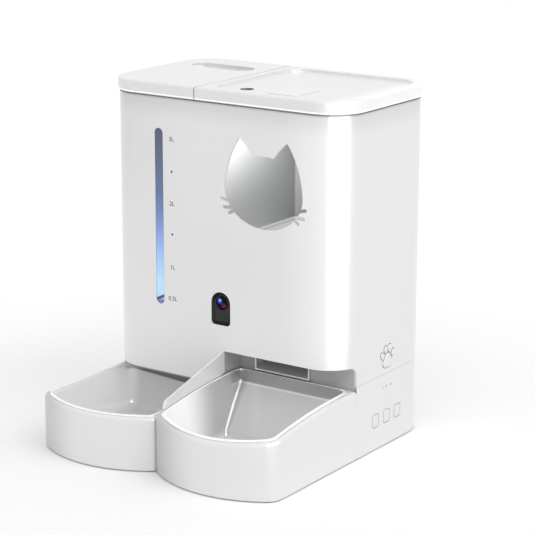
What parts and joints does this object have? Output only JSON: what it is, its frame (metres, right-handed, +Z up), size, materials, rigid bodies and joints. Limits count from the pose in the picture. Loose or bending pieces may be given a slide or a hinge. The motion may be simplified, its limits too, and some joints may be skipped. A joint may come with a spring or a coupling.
{
  "type": "automatic pet feeder with camera",
  "caption": "Automatic pet feeder: food hopper with metering rotor, camera and buttons beside a lift-out water tank, over docked food and water bowls.",
  "frame": {"origin": "on the floor, at the centre of the bounding box's underside", "axes": "+X to the user's right as they face the bowls, -Y towards the user, +Z up"},
  "size_m": [0.288, 0.3, 0.36],
  "materials": {
    "casing_white": "satin white moulded plastic",
    "liner_white": "smooth white moulded plastic",
    "clear_panel": "clear moulded plastic",
    "blue_window": "blue tinted translucent plastic",
    "camera_black": "gloss black",
    "lens_glass": "coated lens glass",
    "dark_plastic": "matt black",
    "grey_plastic": "matt grey",
    "board_green": "solder mask",
    "steel": "plain",
    "brass": "plated contact",
    "rubber_grey": "soft"
  },
  "bodies": {
    "housing": {"housing_shell": "casing_white", "bay_partition": "casing_white", "feed_bay": "casing_white", "water_bay_floor": "casing_white", "chassis_deck": "grey_plastic", "base_housing": "casing_white", "base_plate": "grey_plastic", "base_feet": "rubber_grey", "plate_screws": "steel", "case_screws": "steel", "level_window": "blue_window", "cat_window": "clear_panel", "camera_bezel": "camera_black", "camera_lens": "lens_glass", "camera_barrel": "dark_plastic", "camera_board": "board_green", "paw_badge": "casing_white", "light_guides": "clear_panel", "button_board": "board_green", "main_board": "board_green", "speaker": "dark_plastic", "power_inlet": "dark_plastic", "battery_box": "grey_plastic", "battery_contacts": "brass", "hopper": "liner_white", "rotor_housing": "grey_plastic", "motor": "steel", "motor_bracket": "steel", "food_chute": "casing_white", "tank_cradle": "grey_plastic", "valve_well": "liner_white", "water_pump": "dark_plastic", "water_spout": "clear_panel"},
    "hopper_lid": {"hopper_lid": "casing_white", "lid_gasket": "rubber_grey", "desiccant_box": "liner_white", "hinge_pins": "steel"},
    "latch": {"latch_tab": "casing_white"},
    "tank": {"water_tank": "clear_panel", "valve_cap": "casing_white", "valve_spring": "steel"},
    "tank_lid": {"tank_lid": "casing_white", "handle_cup": "casing_white"},
    "valve": {"valve_stem": "steel"},
    "food_tray": {"food_tray": "casing_white", "splash_guard": "casing_white", "food_tray_pads": "rubber_grey"},
    "food_bowl": {"food_bowl": "liner_white"},
    "water_tray": {"water_tray": "casing_white", "water_tray_pads": "rubber_grey"},
    "water_bowl": {"water_bowl": "liner_white"},
    "rotor": {"rotor": "liner_white", "rotor_shaft": "steel", "drive_gear": "liner_white"},
    "pinion": {"motor_pinion": "brass"},
    "button_set": {"button_set": "casing_white"},
    "button_link": {"button_link": "casing_white"},
    "button_feed": {"button_feed": "casing_white"},
    "battery_cover": {"battery_cover": "casing_white"}
  },
  "joints": [
    {"name": "hopper_lid_hinge", "type": "hinge", "parent": "housing", "child": "hopper_lid", "pos_m": [0.057, 0.1455, 0.3515], "axis": [-1, 0, 0], "range_deg": [0, 95]},
    {"name": "latch_press", "type": "hinge", "parent": "hopper_lid", "child": "latch", "pos_m": [0.0575, 0.0379, 0.3547], "axis": [1, 0, 0], "range_deg": [0, 3.2], "stiffness_Nm_per_rad": 2, "springref_deg": -1.15},
    {"name": "tank_lift", "type": "slide", "parent": "housing", "child": "tank", "axis": [0, 0, 1], "range_m": [0, 0.26]},
    {"name": "tank_lid_lift", "type": "slide", "parent": "tank", "child": "tank_lid", "axis": [0, 0, 1], "range_m": [0, 0.04]},
    {"name": "valve_travel", "type": "slide", "parent": "tank", "child": "valve", "axis": [0, 0, 1], "range_m": [0, 0.004], "stiffness_N_per_m": 400, "springref_m": -0.002, "deforming": ["valve_spring"]},
    {"name": "food_tray_pull", "type": "slide", "parent": "housing", "child": "food_tray", "axis": [0, -1, 0], "range_m": [0, 0.1]},
    {"name": "food_bowl_lift", "type": "slide", "parent": "food_tray", "child": "food_bowl", "axis": [0, 0, 1], "range_m": [0, 0.018]},
    {"name": "water_tray_pull", "type": "slide", "parent": "housing", "child": "water_tray", "axis": [0, -1, 0], "range_m": [0, 0.1]},
    {"name": "water_bowl_lift", "type": "slide", "parent": "water_tray", "child": "water_bowl", "axis": [0, 0, 1], "range_m": [0, 0.003]},
    {"name": "rotor_spin", "type": "hinge", "parent": "housing", "child": "rotor", "pos_m": [0.0545, 0.0722, 0.138], "axis": [1, 0, 0], "continuous": true},
    {"name": "pinion_spin", "type": "hinge", "parent": "housing", "child": "pinion", "pos_m": [0.0098, 0.0462, 0.138], "axis": [1, 0, 0], "continuous": true},
    {"name": "button_set_press", "type": "slide", "parent": "housing", "child": "button_set", "axis": [-1, 0, 0], "range_m": [0, 0.0008], "stiffness_N_per_m": 600, "springref_m": -0.0004},
    {"name": "button_link_press", "type": "slide", "parent": "housing", "child": "button_link", "axis": [-1, 0, 0], "range_m": [0, 0.0008], "stiffness_N_per_m": 600, "springref_m": -0.0004},
    {"name": "button_feed_press", "type": "slide", "parent": "housing", "child": "button_feed", "axis": [-1, 0, 0], "range_m": [0, 0.0008], "stiffness_N_per_m": 600, "springref_m": -0.0004},
    {"name": "battery_cover_pull", "type": "slide", "parent": "housing", "child": "battery_cover", "axis": [0, 1, 0], "range_m": [0, 0.03]}
  ],
  "couplings": [
    {"joint": "pinion_spin", "follows": "rotor_spin", "ratio": -3.3333}
  ]
}
